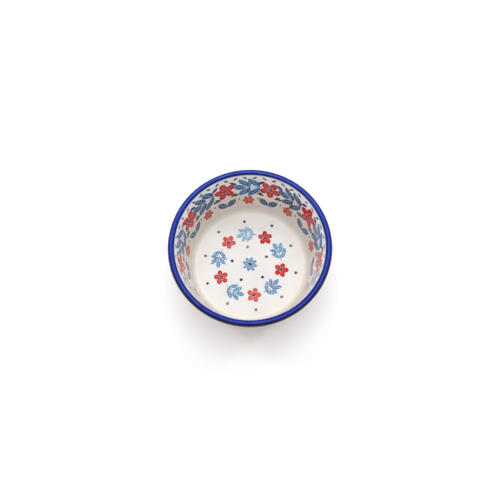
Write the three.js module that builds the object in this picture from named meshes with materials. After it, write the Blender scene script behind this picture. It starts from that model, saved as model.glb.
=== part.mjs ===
// A glazed stoneware ramekin: a tapered round dish on a low foot ring, with a coloured band over its lip.
// The dish is one fired clay body under four coats of glaze, and each of those five is a solid here.
// Millimetres, +Z up, origin at the centre of the foot's contact ring.
import * as THREE from "three";

// Finished sizes over the glaze. A diameter is taken where two straight lines of the section would meet.
const RIM_DIAMETER = 90.5; // lip's top and outer wall; the rounded lip is 90 across
const HEIGHT = 48;
const LIP_WIDTH = 3.7;
const LIP_FLAT = 0.3; // what is left between the roundings of the lip
const BASE_DIAMETER = 77; // outer wall and shoulder
const BASE_CORNER_RADIUS = 5;
const FLOOR_THICKNESS = 4.2; // between the inner floor and the hollow of the foot ring
const WALL_WIDTH_AT_FLOOR = 3.7; // level with the inner floor
const INNER_CORNER_RADIUS = 4;

// Foot ring of bare clay, set in from the outer wall by a flat shoulder and hollow in the middle
const SHOULDER_WIDTH = 1.8;
const FOOT_HEIGHT = 2.4;
const FOOT_WIDTH = 4;
const FOOT_EDGE_RADIUS = 0.8;
const FOOT_ROOT_RADIUS = 0.6;
const RECESS_DEPTH = 2.8;

// Glaze: a coat's thickness, and the fused layer that keeps its solid off the clay and off the next coat
const COAT = 0.4;
const FUSED_LAYER = 0.1;
const BAND_INSIDE = 0.1; // how far the lip's band reaches past the lip's inner rounding
const BAND_OUTSIDE = 7; // and down the outer wall from the lip's top
const BARE_SHOULDER = 0.9; // left between the outer coat and the foot ring
const BARE_RECESS = 1.5; // left between the recess's coat and the foot ring

// Facets
const SEGMENTS = 64; // round the axis
const ARC_STEPS = 4; // along a rounded corner

const CLAY_DEPTH = COAT + FUSED_LAYER; // of the clay's surface under the finished one
const FLOOR_Z = RECESS_DEPTH + FLOOR_THICKNESS;

const stoneware = new THREE.MeshStandardMaterial({ color: 0xd9cbb4, roughness: 0.85, metalness: 0 });
const creamGlaze = new THREE.MeshStandardMaterial({ color: 0xf1ebe0, roughness: 0.12, metalness: 0 });
const cobaltGlaze = new THREE.MeshStandardMaterial({ color: 0x24359a, roughness: 0.1, metalness: 0 });

// A corner of the section, in radius and height, rounded by an arc of the given radius
function corner(radius, height, round = 0) {
  return { at: new THREE.Vector2(radius, height), round };
}

// The plain corner at a given height on the straight line between two others
function onLine(from, to, height) {
  const share = (height - from.at.y) / (to.at.y - from.at.y);
  const at = from.at.clone().lerp(to.at, share);
  return corner(at.x, at.y);
}

// Half the angle between the two lines that meet in a corner
function halfAngle(before, here, after) {
  const back = before.at.clone().sub(here.at);
  const on = after.at.clone().sub(here.at);
  return back.angleTo(on) / 2;
}

// How far from its corner an arc leaves the line
function tangentLength(before, here, after) {
  return here.round / Math.tan(halfAngle(before, here, after));
}

// The unit normal of the line between two corners, on the right of the way along it
function rightOf(from, to) {
  const way = to.at.clone().sub(from.at).normalize();
  return new THREE.Vector2(way.y, -way.x);
}

// The chain that runs parallel to another, a distance to its right, with its arcs about the same centres
function parallel(chain, distance) {
  const normals = chain.slice(1).map((here, i) => rightOf(chain[i], here));
  return chain.map(({ at, round }, i) => {
    const before = normals[Math.max(i - 1, 0)];
    const after = normals[Math.min(i, normals.length - 1)];
    const mitre = before.clone().add(after).divideScalar(1 + before.dot(after));
    const moved = at.clone().addScaledVector(mitre, distance);
    const turn = Math.sign(before.cross(after));
    return corner(moved.x, moved.y, round && round + turn * distance);
  });
}

// The points of a chain, with an arc at each rounded corner
function traced(chain) {
  return chain.flatMap((here, i) => {
    if (here.round === 0) return [here.at];
    const [before, after] = [chain[i - 1], chain[i + 1]];
    const half = halfAngle(before, here, after);
    const back = before.at.clone().sub(here.at).normalize();
    const on = after.at.clone().sub(here.at).normalize();
    const middle = back.clone().add(on).normalize();
    const centre = here.at.clone().addScaledVector(middle, here.round / Math.sin(half));
    const start = here.at.clone().addScaledVector(back, here.round / Math.tan(half));
    const sweep = (Math.PI - 2 * half) * Math.sign(on.cross(back));
    return Array.from({ length: ARC_STEPS + 1 }, (_, step) =>
      start.clone().rotateAround(centre, (sweep * step) / ARC_STEPS),
    );
  });
}

// The solid that a section sweeps round the axis, turned from the lathe's +Y up to +Z up. The section has
// the solid on its right, and the lathe takes it the other way round.
function revolved(name, section, material) {
  const geometry = new THREE.LatheGeometry(section.toReversed(), SEGMENTS);
  geometry.rotateX(Math.PI / 2);
  const mesh = new THREE.Mesh(geometry, material);
  mesh.name = name;
  return mesh;
}

// A coat of glaze on the right of a chain, which starts on the axis or else is a ring about it
function coat(name, chain, material) {
  const near = traced(chain);
  const far = traced(parallel(chain, COAT)).reverse();
  const closing = near[0].x === 0 ? [] : [near[0]];
  return revolved(name, [...near, ...far, ...closing], material);
}

// The finished surface runs from the middle of the inner floor up the inner wall, over the lip, down the
// outer wall and in along the shoulder, with the clay on the right of that way.
const lipInner = corner(RIM_DIAMETER / 2 - LIP_WIDTH, HEIGHT);
const lipOuter = corner(RIM_DIAMETER / 2, HEIGHT);
const baseCorner = corner(BASE_DIAMETER / 2, FOOT_HEIGHT, BASE_CORNER_RADIUS);
const shoulderAxis = corner(0, FOOT_HEIGHT);
const outerAtFloor = onLine(lipOuter, baseCorner, FLOOR_Z);
const floorCentre = corner(0, FLOOR_Z);
const floorCorner = corner(outerAtFloor.at.x - WALL_WIDTH_AT_FLOOR, FLOOR_Z, INNER_CORNER_RADIUS);

// Both roundings of the lip have the radius that fills the lip but for its flat
const lipHalves = [halfAngle(floorCorner, lipInner, lipOuter), halfAngle(lipInner, lipOuter, baseCorner)];
const lipRound = (LIP_WIDTH - LIP_FLAT) / lipHalves.reduce((sum, half) => sum + 1 / Math.tan(half), 0);
lipInner.round = lipRound;
lipOuter.round = lipRound;

// The foot ring follows the base corner and the shoulder
const baseRunOut = tangentLength(lipOuter, baseCorner, shoulderAxis);
const footRadius = BASE_DIAMETER / 2 - baseRunOut - SHOULDER_WIDTH;
const footInnerRadius = footRadius - FOOT_WIDTH;

// Where the coats meet and end
const bandInnerZ = HEIGHT - tangentLength(floorCorner, lipInner, lipOuter) - BAND_INSIDE;
const bandTop = onLine(floorCorner, lipInner, bandInnerZ);
const insideEnd = onLine(floorCorner, lipInner, bandInnerZ - FUSED_LAYER);
const bandBottom = onLine(lipOuter, baseCorner, HEIGHT - BAND_OUTSIDE);
const outsideStart = onLine(lipOuter, baseCorner, HEIGHT - BAND_OUTSIDE - FUSED_LAYER);
const outsideEnd = corner(footRadius + BARE_SHOULDER, FOOT_HEIGHT);
const recessCentre = corner(0, RECESS_DEPTH + COAT);
const recessEdge = corner(footInnerRadius - BARE_RECESS, RECESS_DEPTH + COAT);

// Clay: parallel to the finished surface under the coats, bare on the foot ring
function stonewareBody() {
  const finished = [floorCentre, floorCorner, lipInner, lipOuter, baseCorner, shoulderAxis];
  const covered = parallel(finished, CLAY_DEPTH).slice(0, -1);
  const foot = [
    corner(footRadius, FOOT_HEIGHT + CLAY_DEPTH, FOOT_ROOT_RADIUS),
    corner(footRadius, 0, FOOT_EDGE_RADIUS),
    corner(footInnerRadius, 0, FOOT_EDGE_RADIUS),
    corner(footInnerRadius, RECESS_DEPTH + CLAY_DEPTH, FOOT_ROOT_RADIUS),
    corner(0, RECESS_DEPTH + CLAY_DEPTH),
  ];
  return revolved("stoneware_body", traced([...covered, ...foot]), stoneware);
}

const ramekin = new THREE.Group();
ramekin.add(
  stonewareBody(),
  coat("inside_glaze", [floorCentre, floorCorner, insideEnd], creamGlaze),
  coat("rim_band_glaze", [bandTop, lipInner, lipOuter, bandBottom], cobaltGlaze),
  coat("outside_glaze", [outsideStart, baseCorner, outsideEnd], creamGlaze),
  coat("recess_glaze", [recessCentre, recessEdge], creamGlaze),
);

export default ramekin;
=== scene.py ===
import math

import bpy
import numpy as np
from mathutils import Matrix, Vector


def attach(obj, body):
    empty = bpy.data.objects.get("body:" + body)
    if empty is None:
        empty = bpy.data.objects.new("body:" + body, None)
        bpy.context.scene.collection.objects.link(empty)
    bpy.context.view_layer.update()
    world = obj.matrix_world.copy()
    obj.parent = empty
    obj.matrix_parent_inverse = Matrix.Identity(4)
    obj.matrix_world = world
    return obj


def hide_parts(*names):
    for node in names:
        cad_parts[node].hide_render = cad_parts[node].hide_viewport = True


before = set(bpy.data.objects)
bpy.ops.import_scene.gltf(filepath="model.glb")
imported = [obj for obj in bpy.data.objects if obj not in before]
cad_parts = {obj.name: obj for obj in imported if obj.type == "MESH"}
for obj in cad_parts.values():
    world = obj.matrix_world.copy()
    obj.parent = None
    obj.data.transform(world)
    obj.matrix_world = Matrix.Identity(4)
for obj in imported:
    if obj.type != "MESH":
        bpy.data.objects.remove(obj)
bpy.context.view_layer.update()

MM = 0.001
TURN = 2 * math.pi

# The dish's section in millimetres, as in the part's source
RIM_DIAMETER = 90.5
HEIGHT = 48.0
LIP_WIDTH = 3.7
LIP_FLAT = 0.3
BASE_DIAMETER = 77.0
BASE_CORNER_RADIUS = 5.0
FLOOR_THICKNESS = 4.2
WALL_WIDTH_AT_FLOOR = 3.7
INNER_CORNER_RADIUS = 4.0
SHOULDER_WIDTH = 1.8
FOOT_HEIGHT = 2.4
FOOT_WIDTH = 4.0
FOOT_EDGE_RADIUS = 0.8
FOOT_ROOT_RADIUS = 0.6
RECESS_DEPTH = 2.8
COAT = 0.4
FUSED_LAYER = 0.1
BARE_SHOULDER = 0.9
BARE_RECESS = 1.5
CLAY_DEPTH = COAT + FUSED_LAYER
FLOOR_Z = RECESS_DEPTH + FLOOR_THICKNESS

# The brushed band, from the lip's top
BAND_INSIDE = 1.25
BAND_OUTSIDE = 7.0
BAND_TILT = 0.4  # how far the inner edge is lower on one side and higher on the other

# How finely the section and its sweep are divided
SEGMENTS = 240
STRAIGHT_STEPS = 24
ARC_STEPS = 14
RECESS_MIDDLE_STEPS = 14
RECESS_EDGE_STEPS = 40
RECESS_EDGE = 4.0  # the width along the hollow's edge that is divided more finely
RECESS_EDGE_STEP = 0.1
ON_AXIS = 1e-6  # a smaller radius counts as none
SHARP_ANGLE = math.radians(50)
ANGLES = np.arange(SEGMENTS) * TURN / SEGMENTS


# Sections: a chain of corners, each a complex number (radius + height i) with the radius of its rounding
def half_angle(before, here, after):
    """Half the angle between the two lines that meet in a corner."""
    return abs(np.angle((after - here) / (before - here))) / 2


def right_of(start, end):
    """The unit normal of a line, on the right of the way along it."""
    return (end - start) / abs(end - start) * -1j


def parallel(chain, distance):
    """The chain at a distance to the right of another, with its arcs about the same centres."""
    points = [at for at, _ in chain]
    normals = [right_of(a, b) for a, b in zip(points, points[1:])]
    moved = []
    for i, (at, rounding) in enumerate(chain):
        before = normals[max(i - 1, 0)]
        after = normals[min(i, len(normals) - 1)]
        bend = before.conjugate() * after
        mitre = (before + after) / (1 + bend.real)
        moved.append((at + mitre * distance, rounding and rounding + np.sign(bend.imag) * distance))
    return moved


def traced(chain):
    """The points along a chain, and for each corner the places of its arc's first and last point."""
    points, marks = [], []
    for i, (at, rounding) in enumerate(chain):
        arc = [at]
        if rounding:
            before, after = chain[i - 1][0], chain[i + 1][0]
            half = half_angle(before, at, after)
            back = (before - at) / abs(before - at)
            on = (after - at) / abs(after - at)
            centre = at + (back + on) / abs(back + on) * rounding / math.sin(half)
            start = at + back * rounding / math.tan(half)
            sweep = (math.pi - 2 * half) * np.sign((on.conjugate() * back).imag)
            arc = list(centre + (start - centre) * np.exp(1j * sweep * np.linspace(0, 1, ARC_STEPS + 1)))
        if points:
            points += list(np.linspace(points[-1], arc[0], STRAIGHT_STEPS + 1)[1:-1])
        marks.append((len(points), len(points) + len(arc) - 1))
        points += arc
    return np.array(points), marks


def outer_radius(height):
    """The radius of the straight outer wall at a height."""
    share = (height - FOOT_HEIGHT) / (HEIGHT - FOOT_HEIGHT)
    return (BASE_DIAMETER + (RIM_DIAMETER - BASE_DIAMETER) * share) / 2


floor_centre = complex(0, FLOOR_Z)
floor_corner = complex(outer_radius(FLOOR_Z) - WALL_WIDTH_AT_FLOOR, FLOOR_Z)
lip_inner = complex(RIM_DIAMETER / 2 - LIP_WIDTH, HEIGHT)
lip_outer = complex(RIM_DIAMETER / 2, HEIGHT)
base_corner = complex(BASE_DIAMETER / 2, FOOT_HEIGHT)
shoulder_axis = complex(0, FOOT_HEIGHT)

lip_halves = [half_angle(floor_corner, lip_inner, lip_outer), half_angle(lip_inner, lip_outer, base_corner)]
lip_round = (LIP_WIDTH - LIP_FLAT) / sum(1 / math.tan(half) for half in lip_halves)
base_run_out = BASE_CORNER_RADIUS / math.tan(half_angle(lip_outer, base_corner, shoulder_axis))
foot_radius = BASE_DIAMETER / 2 - base_run_out - SHOULDER_WIDTH
foot_inner_radius = foot_radius - FOOT_WIDTH

# The finished surface, from the inner floor over the lip to the foot ring, with the clay on its right
skin_chain = [
    (floor_centre, 0),
    (floor_corner, INNER_CORNER_RADIUS),
    (lip_inner, lip_round),
    (lip_outer, lip_round),
    (base_corner, BASE_CORNER_RADIUS),
    (complex(foot_radius, FOOT_HEIGHT), 0),
]
skin, skin_marks = traced(skin_chain)
skin_under, _ = traced(parallel(skin_chain, COAT))
_, floor_arc, lip_inner_arc, lip_outer_arc, base_arc, shoulder_end = skin_marks
FIRST, LAST = 0, 1  # of an arc's two marks
lip_crest = (skin[lip_inner_arc[LAST]].real + skin[lip_outer_arc[FIRST]].real) / 2

# The hollow's ceiling, with more points towards its edge
recess_fine = foot_inner_radius - RECESS_EDGE
recess_radii = np.concatenate([
    np.linspace(0, recess_fine, RECESS_MIDDLE_STEPS),
    np.linspace(recess_fine + RECESS_EDGE_STEP, foot_inner_radius, RECESS_EDGE_STEPS),
])
recess = recess_radii + 1j * RECESS_DEPTH
recess_under = recess + 1j * COAT


def wave(amplitude, counts, phase):
    """A hand-made waver round the axis, of several whole numbers of waves."""
    return amplitude * sum(np.sin(n * ANGLES + phase * (k + 1)) / (k + 1) for k, n in enumerate(counts))


def place_at(first, last, measure, value):
    """The places on a stretch of a line where a measure of its points has a value."""
    stretch = np.arange(first, last + 1)
    order = np.argsort(measure[stretch])
    return np.interp(value, measure[stretch][order], stretch[order])


# Where the coats end, at every angle: as heights and radii, and as places on their lines
band_inner_z = HEIGHT - BAND_INSIDE + BAND_TILT * np.sin(ANGLES)
band_inner_z += wave(amplitude=0.03, counts=(2, 5, 9, 14), phase=1.3)
band_outer_z = HEIGHT - BAND_OUTSIDE + wave(amplitude=0.2, counts=(3, 4, 7, 13), phase=2.1)
shoulder_edge = foot_radius + BARE_SHOULDER + wave(amplitude=0.12, counts=(3, 8, 11), phase=0.7)
recess_edge = foot_inner_radius - BARE_RECESS + wave(amplitude=0.25, counts=(2, 5, 9), phase=2.6)
inside_end = place_at(floor_arc[LAST], lip_inner_arc[LAST], skin.imag, band_inner_z)
band_end = place_at(lip_outer_arc[LAST], base_arc[FIRST], skin.imag, band_outer_z)
outside_end = place_at(base_arc[LAST], shoulder_end[FIRST], skin.real, shoulder_edge)
recess_end = place_at(0, len(recess) - 1, recess.real, recess_edge)

# What firing leaves: departures from round, as shares of the radius, and from level, in millimetres
OVAL = 0.0016
FIVE_SIDED = 0.0006
SADDLE = 0.08
THREE_SIDED = 0.05


def ripple(amount, count, phase):
    return amount * np.cos(count * ANGLES + phase)


def hand_made(row):
    """Radius and height of a row after the small departures from round and level that firing leaves."""
    height = row.imag / HEIGHT
    bulge = ripple(OVAL, count=2, phase=-1.4) + ripple(FIVE_SIDED, count=5, phase=0.8)
    tilt = ripple(SADDLE, count=2, phase=0.5) + ripple(THREE_SIDED, count=3, phase=2.0)
    return row.real * (1 + height * bulge), row.imag + height**2 * tilt


STRIP_SIDE = 0.01  # a strip's margins, as shares of an arc's length and of its height
STRIP_GAP = 0.04
DISC_RADIUS = 0.48  # a disc's radius, as a share of its square's side


def strip(arcs, left, bottom, width, height):
    """A texture layout for rows unrolled round the axis, cut into arcs that lie one above another."""

    def laid(share, middle, turn, point):
        arc = min(int(middle * arcs), arcs - 1)
        across = STRIP_SIDE + (1 - 2 * STRIP_SIDE) * (turn * arcs - arc)
        up = STRIP_GAP + (1 - 2 * STRIP_GAP) * share
        return left + width * across, bottom + height * (arc + up) / arcs

    return laid


def disc(reach, left, bottom, size):
    """A texture layout for rows seen along the axis."""

    def laid(share, middle, turn, point):
        across, up = (0.5 + DISC_RADIUS * number / reach for number in point[:2])
        return left + size * across, bottom + size * up

    return laid


def on_axis(row):
    return np.max(row.real) < ON_AXIS


def island_at(row, islands):
    """The first and last row and the layout of the island that holds the faces after a row."""
    firsts = [0] + [last for last, _ in islands]
    return next((first, last, laid) for first, (last, laid) in zip(firsts, islands) if row < last)


def enclosed(mesh):
    """The volume inside a closed mesh, which is negative where its faces point inwards."""
    mesh.calc_loop_triangles()
    points = np.array([v.co for v in mesh.vertices])
    a, b, c = points[np.array([t.vertices for t in mesh.loop_triangles])].transpose(1, 0, 2)
    return float(np.sum(a * np.cross(b, c))) / 6


def swept(name, rows, measures, closed, islands):
    """A closed mesh through rows of points round the axis; a row on the axis becomes one point.

    measures names numbers to keep on the vertices, each with one array per row. islands lists
    (last row, layout) in order.
    """
    corners, firsts, stored = [], [], {key: [] for key in measures}
    counts = [1 if on_axis(row) else SEGMENTS for row in rows]
    for i, (row, count) in enumerate(zip(rows, counts)):
        radius, level = hand_made(row)
        ring = np.column_stack([radius * np.cos(ANGLES), radius * np.sin(ANGLES), level])
        firsts.append(len(corners))
        corners += ring[:count].tolist()
        for key, values in measures.items():
            stored[key] += np.broadcast_to(values[i], SEGMENTS)[:count].tolist()
    faces, layout = [], []
    for low in range(len(rows) if closed else len(rows) - 1):
        high = (low + 1) % len(rows)
        first_row, last_row, laid = island_at(low, islands)
        start, end = ((row - first_row) / (last_row - first_row) for row in (low, low + 1))
        for j in range(SEGMENTS):
            middle = j + 0.5
            loop = [(low, j, start), (low, j + 1, start), (high, j + 1, end), (high, j, end)]
            if counts[low] == 1:
                loop = [(low, middle, start)] + loop[2:]
            elif counts[high] == 1:
                loop = loop[:2] + [(high, middle, end)]
            face = [firsts[row] + (0 if counts[row] == 1 else step % SEGMENTS) for row, step, _ in loop]
            faces.append(face)
            for (_, step, share), vertex in zip(loop, face):
                layout += laid(share, middle / SEGMENTS, step / SEGMENTS, corners[vertex])
    mesh = bpy.data.meshes.new(name)
    mesh.from_pydata([[x * MM for x in point] for point in corners], [], faces)
    mesh.uv_layers.new(name="OFBake").data.foreach_set("uv", layout)
    for key, values in stored.items():
        mesh.attributes.new(key, "FLOAT", "POINT").data.foreach_set("value", values)
    if enclosed(mesh) < 0:
        mesh.flip_normals()
    mesh.shade_smooth()
    mesh.set_sharp_from_angle(angle=SHARP_ANGLE)
    piece = bpy.data.objects.new(name, mesh)
    bpy.context.scene.collection.objects.link(piece)
    return piece


BEAD = 0.1  # how far the glaze swells just before a free edge
BEAD_PLACE = 0.9
BEAD_SPREAD = 0.5
ROLL = 0.45  # over what length a free edge curls down to the clay
ROLL_DEPTH = 0.36


def points_at(places, line):
    """The points of a line at places between its own."""
    index = np.arange(len(line))
    return np.interp(places, index, line.real) + 1j * np.interp(places, index, line.imag)


def coat(name, line, under, start, end, free_edge, islands):
    """A coat of glaze between two places on a line. A free edge curls down to the clay behind a bead."""
    index = np.arange(len(line))
    lengths = np.concatenate([[0], np.cumsum(np.abs(np.diff(line)))])
    start = np.broadcast_to(start, SEGMENTS)
    near, far, gone, left = [], [], [], []
    for share in np.linspace(0, 1, math.ceil(np.max(end - start)) + 1):
        places = start + (end - start) * share
        top = points_at(places, line)
        bottom = points_at(places, under)
        here = np.interp(places, index, lengths)
        to_end = np.interp(end, index, lengths) - here
        if free_edge:
            curl = np.clip(1 - to_end / ROLL, 0, 1)
            swell = BEAD * np.exp(-(((to_end - BEAD_PLACE) / BEAD_SPREAD) ** 2))
            rise = swell - ROLL_DEPTH * (1 - np.sqrt(1 - curl**2))
            top = top + rise * (top - bottom) / np.abs(top - bottom)
        near.append(top)
        far.append(bottom)
        gone.append(here - np.interp(start, index, lengths))
        left.append(to_end)
    rows = near + far[::-1]
    measures = {"from_start": gone + gone[::-1], "to_end": left + left[::-1]}
    closed = not on_axis(near[0])
    return swept(name, rows, measures, closed, islands(len(near), len(rows)))


# Colours, as they look in plain light
def linear(level):
    """The light of one channel of a colour from 0 to 255."""
    share = level / 255
    return share / 12.92 if share <= 0.04045 else ((share + 0.055) / 1.055) ** 2.4


def srgb(red, green, blue):
    return (linear(red), linear(green), linear(blue), 1.0)


CREAM = srgb(245, 239, 228)
CREAM_DEEP = srgb(241, 233, 220)
# Painted cool light on the cream glaze
CREAM_PAINTED_COOL_LIGHT = srgb(240, 242, 243)
# A painted highlight colour for the ring at the foot of the inner wall
CREAM_PAINTED_HIGHLIGHT = srgb(252, 249, 243)
SPECK = srgb(150, 120, 90)
COBALT = srgb(12, 22, 128)
# Deep cobalt for the band's thick edges, also used as painted shade on the lip's outer rounding
COBALT_DEEP_AND_SHADE = srgb(19, 10, 38)
# Thin cobalt from the brush, also used as a painted highlight on the lip's crest
COBALT_THIN_AND_HIGHLIGHT = srgb(58, 84, 172)
COBALT_HAZE = srgb(196, 204, 240)
NAVY = srgb(32, 30, 96)
INK_PALE = srgb(128, 138, 166)
RED = srgb(192, 30, 26)
RED_PALE = srgb(224, 98, 86)
ORANGE = srgb(206, 54, 4)
ORANGE_PALE = srgb(222, 86, 18)
LEAF = srgb(44, 104, 156)
LEAF_DEEP = srgb(28, 64, 108)
LEAF_PALE = srgb(116, 172, 204)
SAGE = srgb(42, 52, 52)
SAGE_PALE = srgb(104, 118, 112)
CLAY = srgb(214, 198, 172)
CLAY_DEEP = srgb(186, 164, 134)
CLAY_WORN = srgb(198, 182, 158)

# Paints of a motif: deep and pale tones, veins, and a blossom's heart and middle or a sprig's stem
RED_BLOSSOM = (RED, RED_PALE, srgb(240, 170, 160), NAVY, ORANGE_PALE)
WALL_BLOSSOM = (srgb(190, 2, 6), srgb(218, 30, 24), srgb(232, 130, 118), NAVY, ORANGE_PALE)
BLUE_BLOSSOM = (LEAF, LEAF_PALE, srgb(214, 230, 236), NAVY, ORANGE)
ORANGE_BLOSSOM = (ORANGE, ORANGE_PALE, srgb(234, 142, 86), NAVY, CREAM)
BLUE_SPRIG = (srgb(60, 126, 174), srgb(128, 186, 214), srgb(208, 230, 238), LEAF_DEEP)
WALL_SPRIG = (srgb(0, 48, 106), srgb(8, 100, 164), srgb(150, 198, 226), LEAF_DEEP)
NAVY_LEAF = (srgb(18, 16, 80), srgb(52, 54, 140), None)
BLUE_LEAF = (srgb(0, 46, 96), srgb(12, 88, 144), srgb(146, 190, 218))
SAGE_LEAF = (SAGE, SAGE_PALE, None)


class Wire:
    """A number that runs through a material's nodes, for sums written as sums."""

    def __init__(self, socket):
        self.socket = socket

    def __add__(self, other):
        return calc("ADD", self, other)

    def __sub__(self, other):
        return calc("SUBTRACT", self, other)

    def __rsub__(self, other):
        return calc("SUBTRACT", other, self)

    def __mul__(self, other):
        return calc("MULTIPLY", self, other)

    def __truediv__(self, other):
        return calc("DIVIDE", self, other)

    __radd__ = __add__
    __rmul__ = __mul__


def feed(socket, value):
    """Link a wire to a socket, or set the socket to a plain value."""
    if isinstance(value, Wire):
        socket.id_data.links.new(value.socket, socket)
    else:
        socket.default_value = value


def calc(kind, *values):
    tree = next(v.socket.id_data for v in values if isinstance(v, Wire))
    node = tree.nodes.new("ShaderNodeMath")
    node.operation = kind
    for socket, value in zip(node.inputs, values):
        feed(socket, value)
    return Wire(node.outputs[0])


def ramp(value, low, high, start=0.0, end=1.0):
    """A smooth step of a value from start at low to end at high."""
    node = value.socket.id_data.nodes.new("ShaderNodeMapRange")
    node.interpolation_type = "SMOOTHSTEP"
    feed(node.inputs["Value"], value)
    for key, number in (("From Min", low), ("From Max", high), ("To Min", start), ("To Max", end)):
        node.inputs[key].default_value = number
    return Wire(node.outputs["Result"])


# Which of a mix node's sockets are the ones for colours
MIX_SHARE, MIX_FIRST, MIX_SECOND, MIX_RESULT = 0, 6, 7, 2


def mixed(share, first, second):
    """A colour a share of the way from one to another."""
    node = share.socket.id_data.nodes.new("ShaderNodeMix")
    node.data_type = "RGBA"
    feed(node.inputs[MIX_SHARE], share)
    feed(node.inputs[MIX_FIRST], first)
    feed(node.inputs[MIX_SECOND], second)
    return Wire(node.outputs[MIX_RESULT])


def chance(cell, seed):
    """A number from 0 to 1 that is the same all over one cell."""
    shifted = cell + seed
    node = shifted.socket.id_data.nodes.new("ShaderNodeTexWhiteNoise")
    node.noise_dimensions = "1D"
    feed(node.inputs["W"], shifted)
    return Wire(node.outputs["Value"])


def noise(vector, scale, detail=2.0, roughness=0.5):
    """Clouds from 0 to 1, whose scale counts them in a millimetre."""
    node = vector.id_data.nodes.new("ShaderNodeTexNoise")
    vector.id_data.links.new(vector, node.inputs["Vector"])
    node.inputs["Scale"].default_value = scale
    node.inputs["Detail"].default_value = detail
    node.inputs["Roughness"].default_value = roughness
    return Wire(node.outputs["Fac"])


def span(x, y):
    return calc("SQRT", calc("MULTIPLY_ADD", x, x, y * y))


def size_of(x):
    return calc("ABSOLUTE", x)


def polar(far, turn):
    """How far out along a direction a point is, and how far to its side."""
    return far * calc("COSINE", turn), far * calc("SINE", turn)


def turned(x, y, angle):
    """A point's coordinates in axes turned by an angle."""
    if isinstance(angle, Wire):
        c, s = calc("COSINE", angle), calc("SINE", angle)
    else:
        c, s = math.cos(angle), math.sin(angle)
    return x * c + y * s, y * c - x * s


def repeated(angle, count, shift=0.0):
    """Which of a turn's equal cells an angle is in, and its angle from the cell's middle."""
    step = TURN / count
    place = angle / step + shift
    cell = calc("FLOOR", place + 0.5)
    return calc("FLOORED_MODULO", cell, float(count)), (place - cell) * step


# Stamps: how far an edge bleeds and is roughened, in millimetres, and what makes a paint deep or pale
SOFT = 0.16
ROUGHENED = 0.7
TONE_LUCK = 0.5
TONE_DEEP = 0.6
TONE_PALE = 1.05

# A blossom, in shares of its radius
PETAL_MIDDLE = 0.6
PETAL_HALF_LENGTH = 0.4
PETAL_HALF_WIDTH = 0.62  # times the sine of half the angle between petals
LINE_MIDDLE = 0.52
LINE_HALF_LENGTH = 0.2
LINE_HALF_WIDTH = 0.02
HEART_RADIUS = 0.22
HEART_MIDDLE = 0.09

# A sprig, in shares of the spacing of its leaflets but for the stem, which is in millimetres
LEAN = 0.9  # the angle between leaflet and stem
LEAFLET_HALF_LENGTH = 0.80
LEAFLET_SHRINK = 0.06
TIP_START = 0.35
TIP_HALF_LENGTH = 0.75
STEM_TAIL = 0.6
STEM_HALF_WIDTH = 0.17

# Veins: pitch in millimetres, half their width as a share of it, slant, and the plain edge of a leaf
FLOOR_VEINS = 1.6
WALL_VEINS = 2.4
VEIN_SHARE = 0.065
VEIN_SLANT = 1.1
VEIN_MARGIN = 0.35


def leaf_shape(x, y, half_length, half_width):
    """The distance from a pointed leaf along x: negative inside."""
    across = x / half_length
    return size_of(y) + (across * across) * half_width - half_width


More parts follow.
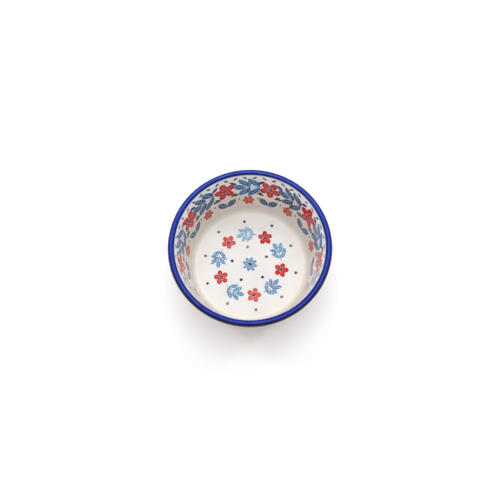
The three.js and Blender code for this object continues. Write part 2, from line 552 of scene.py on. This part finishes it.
class Decoration:
    """Colour stamped on a ground, one motif over another."""

    def __init__(self, ground, grain, cloud):
        self.colour = ground
        self.grain = (grain - 0.5) * ROUGHENED
        self.cloud = cloud

    def lay(self, distance, paint):
        """Paint laid where a distance is negative."""
        inside = ramp(distance + self.grain, -SOFT, SOFT, 1.0, 0.0)
        self.colour = mixed(inside, self.colour, paint)

    def tone(self, deep, pale, luck):
        """A paint that is stronger on some stamps than on others, and uneven within each."""
        return mixed(ramp(luck * TONE_LUCK + self.cloud, TONE_DEEP, TONE_PALE), deep, pale)

    def blossom(self, x, y, radius, petals, luck, paints, slim=0.92):
        """Round petals about a heart, with a pale line down each petal."""
        far = span(x, y)
        angle = calc("ARCTAN2", y, x) + luck * TURN
        step = TURN / petals
        turn = angle / step
        fold = (turn - calc("FLOOR", turn + 0.5)) * step
        out, side = polar(far, fold)
        half_width = PETAL_HALF_WIDTH * radius * math.sin(step / 2) * slim
        half_length = PETAL_HALF_LENGTH * radius
        shape = span((out - PETAL_MIDDLE * radius) / half_length, side / half_width)
        deep, pale, vein, heart, middle = paints
        self.lay((shape - 1.0) * half_width, self.tone(deep, pale, luck))
        beside = size_of(side) - LINE_HALF_WIDTH * radius
        beyond = size_of(out - LINE_MIDDLE * radius) - LINE_HALF_LENGTH * radius
        self.lay(calc("MAXIMUM", beside, beyond), vein)
        self.lay(far - HEART_RADIUS * radius, heart)
        self.lay(far - HEART_MIDDLE * radius, middle)

    def veins(self, along, across, inside, paint, pitch):
        """A midrib along a leaf and side veins that slant from it, kept off the leaf's edge."""
        slant = (along - size_of(across) * VEIN_SLANT) / pitch
        sideways = size_of(slant - calc("FLOOR", slant + 0.5)) * pitch
        line = calc("MINIMUM", sideways, size_of(across)) - VEIN_SHARE * pitch
        self.lay(calc("MAXIMUM", line, inside + VEIN_MARGIN), paint)

    def sprig(self, x, y, pairs, spacing, luck, paints, pitch, bow=0.0, fat=0.36):
        """A stem along x with leaflets in pairs and one at its tip, bent by bow."""
        y = y - (x * x) * bow
        deep, pale, vein, stem = paints
        side = size_of(y)
        slant = x - side * (math.cos(LEAN) / math.sin(LEAN))
        cell = calc("FLOOR", slant / spacing + 0.5)
        behind = pairs // 2
        ahead = pairs - 1 - behind
        cell = calc("MINIMUM", calc("MAXIMUM", cell, -float(behind)), float(ahead))
        out = side / math.sin(LEAN)
        off = (slant - cell * spacing) * math.sin(LEAN)
        half = spacing * (LEAFLET_HALF_LENGTH - LEAFLET_SHRINK * cell)
        leaflet = leaf_shape((out - half) / half, off, 1.0, spacing * fat)
        paint = self.tone(deep, pale, luck)
        end = (ahead + TIP_START) * spacing
        tip_half = TIP_HALF_LENGTH * spacing
        tip = leaf_shape(x - end - tip_half, y, tip_half, spacing * fat)
        self.lay(calc("MINIMUM", leaflet, tip), paint)
        self.veins(out, off, leaflet, vein, pitch)
        self.veins(x, y, tip, vein, pitch)
        tail = (behind + STEM_TAIL) * spacing
        beyond = size_of(x - (end - tail) / 2) - (end + tail) / 2
        self.lay(calc("MAXIMUM", side - STEM_HALF_WIDTH, beyond), stem)

    def leaf(self, x, y, luck, paints, angle, halves):
        """One leaf by half its length and width, with veins where its paints have a colour for them."""
        along, across = turned(x, y, angle)
        deep, pale, vein = paints
        shape = leaf_shape(along, across, *halves)
        self.lay(shape, self.tone(deep, pale, luck))
        if vein:
            self.veins(along, across, shape, vein, WALL_VEINS)

    def dot(self, x, y, radius, luck):
        self.lay(span(x, y) - radius, self.tone(NAVY, INK_PALE, luck))


# The floor's design, in millimetres from its middle
WREATH_CELLS = 5
WREATH_RADIUS = 19.5
WREATH_SPRIG_SHIFT = 0.4  # along the wreath, which centres a sprig in its cell
INNER_DOTS = 11.2
SPRIG_DOTS = 28.0
BLOSSOM_DOTS = 28.6
WREATH_DOT = 0.9  # a dot's radius


def floor_design(paint, x, y):
    """A rosette in the middle of a wreath of blossoms and sprigs."""
    far = span(x, y)
    angle = calc("ARCTAN2", y, x)
    whole, _ = repeated(angle, 1)
    paint.blossom(x, y, radius=4.6, petals=8, luck=chance(whole, 3.0), paints=BLUE_BLOSSOM)
    cell, turn = repeated(angle, WREATH_CELLS, shift=0.15)
    luck = chance(cell, 11.0)
    out, side = polar(far, turn)
    paint.blossom(out - WREATH_RADIUS, side, radius=4.5, petals=5, luck=luck, paints=RED_BLOSSOM)
    paint.dot(out - BLOSSOM_DOTS, side, WREATH_DOT, luck)
    cell, turn = repeated(angle, WREATH_CELLS, shift=0.65)
    luck = chance(cell, 23.0)
    along = turn * WREATH_RADIUS + WREATH_SPRIG_SHIFT
    paint.sprig(
        along, far - WREATH_RADIUS, pairs=2, spacing=3.7, luck=luck, paints=BLUE_SPRIG, pitch=FLOOR_VEINS
    )
    out, side = polar(far, turn)
    paint.dot(out - INNER_DOTS, side, WREATH_DOT, luck)
    paint.dot(out - SPRIG_DOTS, side, WREATH_DOT, 1.0 - luck)


# The walls' design in millimetres: how far below the band a motif is, and how far from its cell's middle
BORDER_CELLS = 46
BORDER_DEPTH = 2.9
BORDER_LEAN = 0.65
SPRIG_DEPTH = 13.2
SPRIG_SHIFT = 1.0
SIDE_DEPTH, SIDE_OFF = 20.4, 9.2  # the leaf beside the sprig
DOT_DEPTH, DOT_OFF = 25.4, 7.4
FLOWER_DEPTH = 27.6
TOP_DEPTH, TOP_OFF = 7.2, 7.0  # the leaves above and below the blossom
LOW_DEPTH, LOW_OFF = 19.6, 6.6
BLOSSOM_DEPTH = 13.0
PAIR_DEPTH, PAIR_OFF = 28.0, 3.9  # the pair of leaves in the lower ring
STRAY_ALONG = 1.6  # how far luck moves a motif
STRAY_DOWN = 1.2
CELLS_AT_SIZE = 7  # how many cells leave the motifs as wide as drawn


def wall_design(paint, angle, below, radius, cells):
    """A garland of blossoms and sprigs under a border of leaflets, over a ring of small flowers."""
    radius = radius * cells / CELLS_AT_SIZE
    cell, turn = repeated(angle, BORDER_CELLS)
    lean = calc("FLOORED_MODULO", cell, 2.0) * (2 * BORDER_LEAN) - BORDER_LEAN
    luck = chance(cell, 5.0)
    paint.leaf(turn * radius, below - BORDER_DEPTH, luck, SAGE_LEAF, angle=lean, halves=(2.1, 0.85))
    cell, turn = repeated(angle, cells, shift=0.7)
    luck = chance(cell, 47.0)
    x = turn * radius + (luck - 0.5) * STRAY_ALONG
    side = size_of(x)
    paint.leaf(side - SIDE_OFF, below - SIDE_DEPTH, luck, SAGE_LEAF, angle=0.35, halves=(2.9, 1.1))
    paint.sprig(
        x + SPRIG_SHIFT, below - SPRIG_DEPTH, pairs=2, spacing=7.2, luck=luck, paints=WALL_SPRIG,
        pitch=WALL_VEINS, bow=-0.015, fat=0.385,
    )
    paint.blossom(
        x, below - FLOWER_DEPTH, radius=5.0, petals=6, luck=luck, paints=ORANGE_BLOSSOM, slim=1.05
    )
    paint.dot(side - DOT_OFF, below - DOT_DEPTH, radius=0.8, luck=luck)
    cell, turn = repeated(angle, cells, shift=0.2)
    luck = chance(cell, 31.0)
    x = turn * radius + (luck - 0.5) * STRAY_ALONG
    below = below + (luck - 0.5) * STRAY_DOWN
    side = size_of(x)
    paint.leaf(side - TOP_OFF, below - TOP_DEPTH, luck, NAVY_LEAF, angle=0.6, halves=(3.2, 1.3))
    paint.leaf(side - LOW_OFF, below - LOW_DEPTH, luck, SAGE_LEAF, angle=-0.7, halves=(2.9, 1.2))
    paint.blossom(x, below - BLOSSOM_DEPTH, radius=8.3, petals=5, luck=luck, paints=WALL_BLOSSOM)
    paint.leaf(side - PAIR_OFF, below - PAIR_DEPTH, luck, BLUE_LEAF, angle=-0.75, halves=(5.4, 2.8))


# Materials
GLAZE_IOR = 1.52
GLAZE_SPECULAR = 0.3
GLAZE_RELIEF = 0.10  # in millimetres
CLAY_RELIEF = 0.12
HIGHLIGHT_RING_RADIUS = 33.1  # of the painted highlight ring at the foot of the inner wall
HIGHLIGHT_RING_SHARE = 0.75
FLOOR_PAINTED_COOL_LIGHT = 0.35  # how much painted cool light is on the middle of the floor
FLOOR_PAINTED_COOL_RADIUS = 26.0
WALL_STARTS = FLOOR_Z + 1.4  # where the wall's design takes over from the floor's
WALL_FULL = FLOOR_Z + 1.6
STROKES_ROUND = 9.0  # brush marks in the band, to a radian and to a millimetre
STROKES_DOWN = 1.1
CREST_INWARD = 0.15  # how far inside the lip's crest the painted highlight is strongest


def material(name):
    made = bpy.data.materials.new(name)
    made.use_nodes = True
    tree = made.node_tree
    return made, tree, tree.nodes["Principled BSDF"]


def coordinates(tree):
    """The surface's place in millimetres: as a vector, and its three numbers."""
    source = tree.nodes.new("ShaderNodeTexCoord")
    scaled = tree.nodes.new("ShaderNodeVectorMath")
    scaled.operation = "SCALE"
    scaled.inputs["Scale"].default_value = 1 / MM
    tree.links.new(source.outputs["Object"], scaled.inputs[0])
    split = tree.nodes.new("ShaderNodeSeparateXYZ")
    tree.links.new(scaled.outputs["Vector"], split.inputs["Vector"])
    return scaled.outputs["Vector"], [Wire(split.outputs[axis]) for axis in "XYZ"]


def kept(tree, name):
    """A number that the mesh keeps on its vertices."""
    node = tree.nodes.new("ShaderNodeAttribute")
    node.attribute_name = name
    return Wire(node.outputs["Fac"])


def bumped(tree, shader, height, distance):
    """Relief from a height between 0 and 1, over a distance in millimetres."""
    node = tree.nodes.new("ShaderNodeBump")
    node.inputs["Strength"].default_value = 1.0
    node.inputs["Distance"].default_value = distance * MM
    feed(node.inputs["Height"], height)
    tree.links.new(node.outputs["Normal"], shader.inputs["Normal"])


def cream_ground(vector):
    """Cream glaze with slow clouds of tone and a few iron specks."""
    clouds = noise(vector, scale=0.09, detail=3.0)
    ground = mixed(ramp(clouds, low=0.4, high=0.75), CREAM, CREAM_DEEP)
    specks = noise(vector, scale=1.7, detail=0.0)
    return mixed(ramp(specks, low=0.83, high=0.87, end=0.55), ground, SPECK)


def glossy(tree, shader, vector, roughness):
    """Gloss that varies a little, over the slow waves of a glaze that ran as it melted."""
    haze = noise(vector, scale=0.25)
    uneven = ramp(haze, low=0.3, high=0.7, start=roughness * 0.7, end=roughness * 1.4)
    feed(shader.inputs["Roughness"], uneven)
    waves = noise(vector, scale=0.16, detail=1.0)
    peel = noise(vector, scale=0.9, detail=1.0)
    bumped(tree, shader, waves * 0.8 + peel * 0.2, GLAZE_RELIEF)
    shader.inputs["IOR"].default_value = GLAZE_IOR


def decorated_glaze(name, edge, radius, cells, painted_cool_light, with_floor):
    """Cream glaze with a garland, whose heights count from the band's edge, and painted cool light on the
    cream next to the band; with the floor, also a painted highlight ring and painted cool light on its
    middle.
    """
    made, tree, shader = material(name)
    vector, (x, y, z) = coordinates(tree)
    below = kept(tree, edge)
    # Painted cool light: bluer cream that fades out between 4 and 24 mm below the band
    painted_cool_share = ramp(below + noise(vector, scale=0.3) * 4.0, low=4.0, high=24.0, start=painted_cool_light, end=0.0)
    ground = mixed(painted_cool_share, cream_ground(vector), CREAM_PAINTED_COOL_LIGHT)
    if with_floor:
        # Painted highlight: a paler ring of cream where the floor meets the inner wall
        beside_highlight_ring = size_of(span(x, y) - HIGHLIGHT_RING_RADIUS)
        ground = mixed(ramp(beside_highlight_ring, low=0.1, high=0.9, start=HIGHLIGHT_RING_SHARE, end=0.0), ground, CREAM_PAINTED_HIGHLIGHT)
    paint = Decoration(ground, noise(vector, scale=1.1), noise(vector, scale=0.55, detail=3.0))
    wall_design(paint, calc("ARCTAN2", y, x), below, radius, cells)
    if with_floor:
        wall = paint.colour
        # Painted cool light: bluer cream on the middle of the floor, fading out towards the highlight ring
        painted_cool_share = ramp(span(x, y), low=FLOOR_PAINTED_COOL_RADIUS, high=HIGHLIGHT_RING_RADIUS, start=FLOOR_PAINTED_COOL_LIGHT, end=0.0)
        paint.colour = mixed(painted_cool_share, ground, CREAM_PAINTED_COOL_LIGHT)
        floor_design(paint, x, y)
        paint.colour = mixed(ramp(z, WALL_STARTS, WALL_FULL), paint.colour, wall)
    haze = ramp(below + paint.grain * 0.6, low=0.2, high=1.3, start=0.5, end=0.0)
    bleed = ramp(below + paint.grain * 0.4, low=0.0, high=0.3, start=0.6, end=0.0)
    colour = mixed(bleed, mixed(haze, paint.colour, COBALT_HAZE), COBALT)
    feed(shader.inputs["Base Color"], colour)
    shader.inputs["Specular IOR Level"].default_value = GLAZE_SPECULAR
    glossy(tree, shader, vector, roughness=0.10)
    return made


def plain_glaze(name):
    made, tree, shader = material(name)
    vector, _ = coordinates(tree)
    feed(shader.inputs["Base Color"], cream_ground(vector))
    glossy(tree, shader, vector, roughness=0.14)
    return made


def band_glaze(name):
    """Brushed cobalt, darker along its edges, with a painted highlight on the lip's crest and painted shade
    on the lip's outer rounding, strongest towards -Y.
    """
    made, tree, shader = material(name)
    vector, (x, y, z) = coordinates(tree)
    edge = calc("MINIMUM", kept(tree, "from_start"), kept(tree, "to_end"))
    strokes = tree.nodes.new("ShaderNodeCombineXYZ")
    feed(strokes.inputs["X"], calc("ARCTAN2", y, x) * STROKES_ROUND)
    feed(strokes.inputs["Y"], kept(tree, "from_start") * STROKES_DOWN)
    brushed = noise(strokes.outputs["Vector"], scale=1.0, detail=3.0)
    cloud = noise(vector, scale=0.12)
    out = span(x, y) - lip_crest
    toward_minus_y = y / span(x, y) * -1.0
    on_top = ramp(z, HEIGHT - 1.0, HEIGHT - 0.5)
    # Painted highlight: a paler line along the lip's crest, a little stronger towards +Y; brush strokes and
    # clouds thin the cobalt too
    crest_highlight = ramp(size_of(out + CREST_INWARD), low=0.15, high=0.95, start=1.0, end=0.0) * on_top
    thin_and_highlight = ramp(brushed * 0.35 + cloud * 0.25 + crest_highlight * (0.55 - toward_minus_y * 0.1), low=0.4, high=1.0)
    colour = mixed(thin_and_highlight, COBALT, COBALT_THIN_AND_HIGHLIGHT)
    # Painted shade: darker cobalt on the lip's outer rounding, strongest towards -Y; the band's edges are
    # darker too, where its glaze lies thick
    not_low = ramp(z, HEIGHT - 4.6, HEIGHT - 2.4)
    near_side_shade = ramp(out + (brushed - 0.5) * 0.3, low=0.15, high=0.85) * not_low
    near_side_shade = near_side_shade * ramp(toward_minus_y, low=-0.1, high=0.6, start=0.3, end=1.0)
    deep_edges_and_shade = ramp(edge + (brushed - 0.5) * 0.8, low=0.2, high=1.2, start=0.8, end=0.0)
    deep_edges_and_shade = calc("MAXIMUM", near_side_shade * 0.95, deep_edges_and_shade)
    feed(shader.inputs["Base Color"], mixed(deep_edges_and_shade, colour, COBALT_DEEP_AND_SHADE))
    shader.inputs["Specular IOR Level"].default_value = GLAZE_SPECULAR
    glossy(tree, shader, vector, roughness=0.12)
    return made


def bare_clay(name):
    """Fired clay with fine grit, darker specks and a wiped look."""
    made, tree, shader = material(name)
    vector, (_, _, z) = coordinates(tree)
    grit = noise(vector, scale=3.0, detail=4.0, roughness=0.65)
    cloud = noise(vector, scale=0.2, detail=3.0)
    colour = mixed(ramp(grit * 0.5 + cloud * 0.5, low=0.35, high=0.65), CLAY, CLAY_DEEP)
    specks = noise(vector, scale=2.2, detail=0.0)
    colour = mixed(ramp(specks, low=0.74, high=0.80, end=0.7), colour, SPECK)
    worn = ramp(z + (grit - 0.5) * 0.5, low=0.0, high=0.35, start=0.45, end=0.0)
    feed(shader.inputs["Base Color"], mixed(worn, colour, CLAY_WORN))
    feed(shader.inputs["Roughness"], ramp(grit, low=0.3, high=0.7, start=0.75, end=0.95))
    bumped(tree, shader, grit, CLAY_RELIEF)
    return made


# Pieces, each with the islands of its texture layout
inside = coat(
    "inside_glaze_skin", skin, skin_under, 0.0, inside_end, False,
    lambda near, all_rows: [
        (floor_arc[LAST], disc(reach=37.5, left=0.0, bottom=0.0, size=0.5)),
        (near, strip(arcs=2, left=0.0, bottom=0.5, width=1.0, height=0.5)),
        (all_rows, disc(reach=42.5, left=0.5, bottom=0.0, size=0.5)),
    ],
)
band = coat(
    "rim_band_skin", skin, skin_under, inside_end, band_end, False,
    lambda near, all_rows: [
        (near, strip(arcs=4, left=0.0, bottom=0.0, width=1.0, height=0.8)),
        (all_rows, strip(arcs=4, left=0.0, bottom=0.8, width=1.0, height=0.2)),
    ],
)
outside = coat(
    "outside_glaze_skin", skin, skin_under, band_end, outside_end, True,
    lambda near, all_rows: [
        (near, strip(arcs=3, left=0.0, bottom=0.0, width=1.0, height=0.9)),
        (all_rows, strip(arcs=3, left=0.0, bottom=0.9, width=1.0, height=0.1)),
    ],
)
recess_coat = coat(
    "recess_glaze_skin", recess, recess_under, 0.0, recess_end, True,
    lambda near, all_rows: [
        (near, disc(reach=28.0, left=0.0, bottom=0.0, size=0.7)),
        (all_rows, disc(reach=28.0, left=0.7, bottom=0.7, size=0.3)),
    ],
)

covered_chain = parallel(skin_chain[:-1] + [(shoulder_axis, 0)], CLAY_DEPTH)[:-1]
foot_chain = [
    (complex(foot_radius, FOOT_HEIGHT + CLAY_DEPTH), FOOT_ROOT_RADIUS),
    (complex(foot_radius, 0), FOOT_EDGE_RADIUS),
    (complex(foot_inner_radius, 0), FOOT_EDGE_RADIUS),
    (complex(foot_inner_radius, RECESS_DEPTH + CLAY_DEPTH), FOOT_ROOT_RADIUS),
    (complex(0, RECESS_DEPTH + CLAY_DEPTH), 0),
]
clay_line, clay_marks = traced(covered_chain + foot_chain)
clay_rows = [np.full(SEGMENTS, point) for point in clay_line]
clay_base_arc = clay_marks[len(covered_chain) - 1]
clay = swept(
    "stoneware_clay", clay_rows, {}, False,
    [
        (clay_base_arc[LAST], disc(reach=46.0, left=0.75, bottom=0.75, size=0.25)),
        (len(clay_rows), disc(reach=40.0, left=0.0, bottom=0.0, size=0.74)),
    ],
)

# The garland's cells, the radius at which they are measured, and the share of painted cool light at the
# band
inside_look = decorated_glaze(
    "decorated_glaze_inside", "to_end", radius=39.0, cells=9, painted_cool_light=1.0, with_floor=True
)
band_look = band_glaze("cobalt_band_glaze")
outside_look = decorated_glaze(
    "decorated_glaze_outside", "from_start", radius=42.0, cells=7, painted_cool_light=0.5, with_floor=False
)
pieces = [
    (inside, "inside_glaze", "cream_glaze", inside_look),
    (band, "rim_band_glaze", "cobalt_glaze", band_look),
    (outside, "outside_glaze", "cream_glaze", outside_look),
    (recess_coat, "recess_glaze", "cream_glaze", plain_glaze("plain_cream_glaze")),
    (clay, "stoneware_body", "bare_stoneware", bare_clay("bare_stoneware_clay")),
]
for piece, node, slot, look in pieces:
    piece.data.materials.append(look)
    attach(piece, "root")
    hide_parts(node)

# Stage, in metres: a white floor that keeps the dish's shadow, soft lamps and a soft surround
FLOOR_MIDDLE = 0.35
FLOOR_REACH = 2.2
COVE_RADIUS = 0.6
COVE_STEPS = 12
BACKDROP_TOP = 1.9
BACKDROP_SIDES = 96
FLOOR_COLOUR = (0.82, 0.795, 0.79, 1.0)
WHITE = (1.0, 1.0, 1.0, 1.0)
GLOW_STARTS = 0.05
GLOW_FULL = 0.7
FLOOR_GLOW = 0.15  # round the dish, where the lamps light the floor too
FAR_GLOW = 0.92
WORLD_LIGHT = 0.22
WORLD_COLOUR = (1.0, 0.92, 0.85, 1.0)
LAMP_AIM = Vector((0, 0, 0.03))
SIDE_COLOUR = (0.89, 0.985, 1.06)


def seen_directly(tree):
    """1 for what the camera sees by itself or in gloss, and 0 for light on the object."""
    path = tree.nodes.new("ShaderNodeLightPath")
    seen = calc("MAXIMUM", Wire(path.outputs["Is Camera Ray"]), Wire(path.outputs["Is Glossy Ray"]))
    return calc("MAXIMUM", seen, Wire(path.outputs["Is Transmission Ray"]))


def backdrop():
    """A round floor whose edge sweeps up into a wall, white where it is seen."""
    turns = np.linspace(0, math.pi / 2, COVE_STEPS + 1)[1:]
    wall_radius = FLOOR_REACH + COVE_RADIUS
    radii = [FLOOR_MIDDLE, FLOOR_REACH] + list(FLOOR_REACH + COVE_RADIUS * np.sin(turns)) + [wall_radius]
    levels = [0.0, 0.0] + list(COVE_RADIUS * (1 - np.cos(turns))) + [BACKDROP_TOP]
    points, faces = [(0.0, 0.0, 0.0)], []
    for radius, level in zip(radii, levels):
        for angle in np.arange(BACKDROP_SIDES) * TURN / BACKDROP_SIDES:
            points.append((radius * math.cos(angle), radius * math.sin(angle), level))
    for k in range(len(radii)):
        outer = 1 + k * BACKDROP_SIDES
        inner = outer - BACKDROP_SIDES
        for j in range(BACKDROP_SIDES):
            n = (j + 1) % BACKDROP_SIDES
            face = (0, outer + j, outer + n) if k == 0 else (inner + j, outer + j, outer + n, inner + n)
            faces.append(face)
    mesh = bpy.data.meshes.new("backdrop")
    mesh.from_pydata(points, [], faces)
    mesh.shade_smooth()
    made, tree, shader = material("white_backdrop")
    shader.inputs["Base Color"].default_value = FLOOR_COLOUR
    shader.inputs["Roughness"].default_value = 1.0
    shader.inputs["Specular IOR Level"].default_value = 0.0
    shader.inputs["Emission Color"].default_value = WHITE
    _, (x, y, _) = coordinates(tree)
    glow = ramp(span(x, y) * MM, GLOW_STARTS, GLOW_FULL, FLOOR_GLOW, FAR_GLOW)
    feed(shader.inputs["Emission Strength"], seen_directly(tree) * glow)
    mesh.materials.append(made)
    sheet = bpy.data.objects.new("backdrop", mesh)
    bpy.context.scene.collection.objects.link(sheet)


def surround():
    """Soft light from all round."""
    world = bpy.data.worlds.new("soft_surround")
    bpy.context.scene.world = world
    world.use_nodes = True
    background = world.node_tree.nodes["Background"]
    background.inputs["Color"].default_value = WORLD_COLOUR
    background.inputs["Strength"].default_value = WORLD_LIGHT


def lamp(name, place, size, power, colour, mirrored=False):
    """A soft oval lamp aimed at the dish, which the glaze mirrors or doesn't."""
    data = bpy.data.lights.new(name, "AREA")
    data.shape = "ELLIPSE"
    data.size, data.size_y = size
    data.energy = power
    data.color = colour
    made = bpy.data.objects.new(name, data)
    made.location = place
    made.rotation_euler = (LAMP_AIM - Vector(place)).to_track_quat("-Z", "Y").to_euler()
    made.visible_glossy = mirrored
    bpy.context.scene.collection.objects.link(made)


backdrop()
surround()
lamp("overhead_softbox", place=(0, 0.06, 1.0), size=(0.6, 0.6), power=6.1, colour=(0.91, 0.965, 1.02))
lamp("light_from_behind", place=(0.05, 0.46, 0.90), size=(0.8, 0.08), power=2.0, colour=(0.94, 0.99, 1.03))
lamp("low_front_light", place=(0.0, -1.0, 0.30), size=(0.3, 0.3), power=2.6, colour=(1.05, 0.98, 0.92))
lamp("low_left_light", place=(-0.9, 0.55, 0.34), size=(0.3, 0.3), power=4.6, colour=SIDE_COLOUR)
lamp("low_right_light", place=(0.9, 0.55, 0.34), size=(0.3, 0.3), power=4.2, colour=SIDE_COLOUR)
lamp(
    "left_panel", place=(-0.75, -0.2, 0.75), size=(0.35, 0.35), power=0.35, colour=WHITE[:3], mirrored=True
)

# The camera, in metres, and its lens and sensor in millimetres
CAMERA_PLACE = Vector((0.0, -0.0897, 0.3322))
CAMERA_AIM = Vector((0.0, -0.0027, 0.046))
LENS = 39.45
SENSOR_WIDTH = 36.0

camera_data = bpy.data.cameras.new("camera")
camera_data.sensor_width = SENSOR_WIDTH
camera_data.lens = LENS
camera = bpy.data.objects.new("camera", camera_data)
camera.location = CAMERA_PLACE
camera.rotation_euler = (CAMERA_AIM - CAMERA_PLACE).to_track_quat("-Z", "Y").to_euler()
bpy.context.scene.collection.objects.link(camera)
bpy.context.scene.camera = camera
bpy.context.scene.view_settings.view_transform = "Standard"
